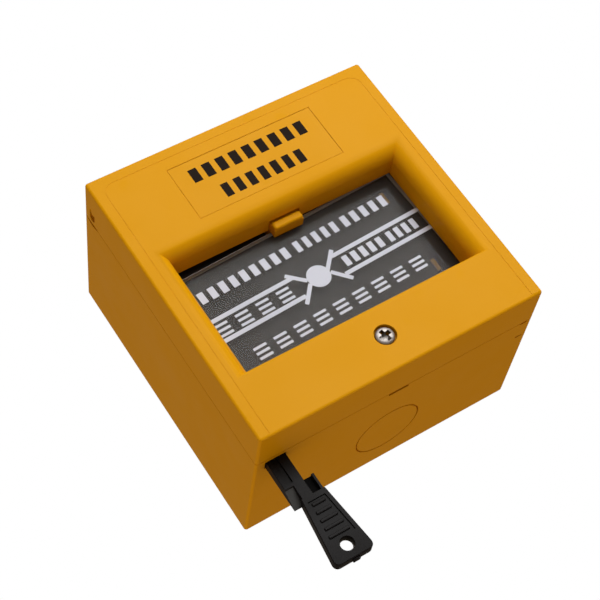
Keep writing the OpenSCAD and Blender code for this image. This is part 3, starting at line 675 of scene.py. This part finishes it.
# painted highlight in lighter grey on the ramp's faces, painted shade in near-black on the floor by the neck
key.data.materials.append(moulded("key_ramp_painted_highlight", (0.080, 0.083, 0.083), (0.066, 0.068, 0.068), 0.22, 0.34,
                                  spec=0.2))
key.data.materials.append(moulded("key_recess_painted_shade", (0.003, 0.003, 0.003), (0.004, 0.004, 0.004), 0.5, 0.6,
                                  spec=0.02))
for face in key.data.polygons:
    x, y, z = face.center / MM
    if x < -37.3 and -56.6 < z < -51.3 and face.normal.z < -0.2 and face.normal.y < -0.2:
        face.material_index = 1
    elif x > GRIP_X + 0.1 and -56.5 < z < -51 and y > KEY_FRONT + 1.1:
        face.material_index = 2

# ---- Chassis ----
# An orange inner plate on the box's four posts. It holds the tray's hinge pins, the switch, the
# catch's guides and the terminal block.
finish_piece(merged_copy("chassis", "chassis_moulding"), orange_abs, "base", "housing", "chassis",
             soften=0.12)
bright_screws = metal("bright_screws", (0.74, 0.73, 0.70), (0.55, 0.54, 0.52), 0.2, 0.36)
for node in ("chassis_screws", "guide_screws", "hinge_pins", "switch_screws", "terminal_screws"):
    repaint(node, bright_screws)

# ---- Switch ----
# A snap-action microswitch of black thermoset. Its leaf lever rides under the tray's nose and pushes
# a small red plunger, and three brass blades carry the leads.
thermoset = moulded("thermoset", (0.022, 0.022, 0.022), (0.034, 0.032, 0.030), 0.34, 0.5, grain_mm=0.15)
finish_piece(merged_copy("switch_case", "switch_body"), thermoset, "base", "black_plastic", "switch_case",
             soften=0.2)
spring_steel = metal("spring_steel", (0.66, 0.65, 0.63), (0.46, 0.45, 0.43), 0.18, 0.34)
repaint("switch_lever", spring_steel)
plunger_red = moulded("plunger_red", (0.45, 0.03, 0.02), (0.40, 0.02, 0.015), 0.25, 0.35)
repaint("switch_plunger", plunger_red)
repaint("switch_blades", brass)

# ---- Terminal block ----
# A three-pole block of green polyamide with brass clamp cages and slotted screws.
# It takes the field cable's cores, and sits at the top of the chassis.
polyamide = moulded("green_polyamide", (0.03, 0.21, 0.07), (0.025, 0.17, 0.055), 0.32, 0.45)
finish_piece(merged_copy("terminal_block", "terminal_body"), polyamide, "base", "green_plastic",
             "terminal_block", soften=0.2)
repaint("terminal_clamps", brass)

# ---- Leads and springs ----
# Three PVC-insulated leads run from the switch to the terminals. Two coil springs of steel wire
# return the catch and the tray.
for node, light, deep in (("lead_common", (0.02, 0.02, 0.02), (0.035, 0.035, 0.035)),
                          ("lead_open", (0.55, 0.025, 0.02), (0.45, 0.02, 0.015)),
                          ("lead_closed", (0.80, 0.80, 0.78), (0.72, 0.72, 0.70))):
    repaint(node, moulded(node + "_pvc", light, deep, 0.35, 0.5))

WIRE_SIDES, STEPS_PER_TURN = 10, 28


def coil(name, start, run, radius, wire, turns):
    """A helix of round wire about an axis from start, along run; its axis is Y or Z, in millimetres."""
    bm = bmesh.new()
    along_y = run[1] != 0
    ring = bmesh.ops.create_circle(bm, segments=WIRE_SIDES, radius=wire * MM)["verts"]
    if not along_y:
        bmesh.ops.rotate(bm, verts=ring, cent=(0, 0, 0), matrix=Matrix.Rotation(math.radians(90), 3, "X"))
    lift = [math.copysign(wire, v) if v else 0 for v in run]
    first = [(start[i] + lift[i] + (radius if i == 0 else 0)) * MM for i in range(3)]
    bmesh.ops.translate(bm, verts=ring, vec=first)
    steps = STEPS_PER_TURN * turns
    rise = [(run[i] - 2 * lift[i]) * MM / steps for i in range(3)]
    bmesh.ops.spin(bm, geom=bm.verts[:] + bm.edges[:], cent=[c * MM for c in start],
                   axis=(0, 1, 0) if along_y else (0, 0, 1), dvec=rise, angle=2 * math.pi * turns,
                   steps=steps)
    bmesh.ops.holes_fill(bm, edges=[e for e in bm.edges if e.is_boundary])
    return piece(name, bm)


catch_coil = coil("catch_coil", (-21, -34.5, 14.7), (0, 0, 7.8), 1.25, 0.2, 6)
finish_piece(catch_coil, spring_steel, "base", "spring_steel", "catch_spring")
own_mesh(catch_coil)
plate_coil = coil("plate_coil", (-6, -39.4, 0), (0, 6.5, 0), 2.6, 0.3, 4)
finish_piece(plate_coil, spring_steel, "base", "spring_steel", "plate_spring")
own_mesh(plate_coil)
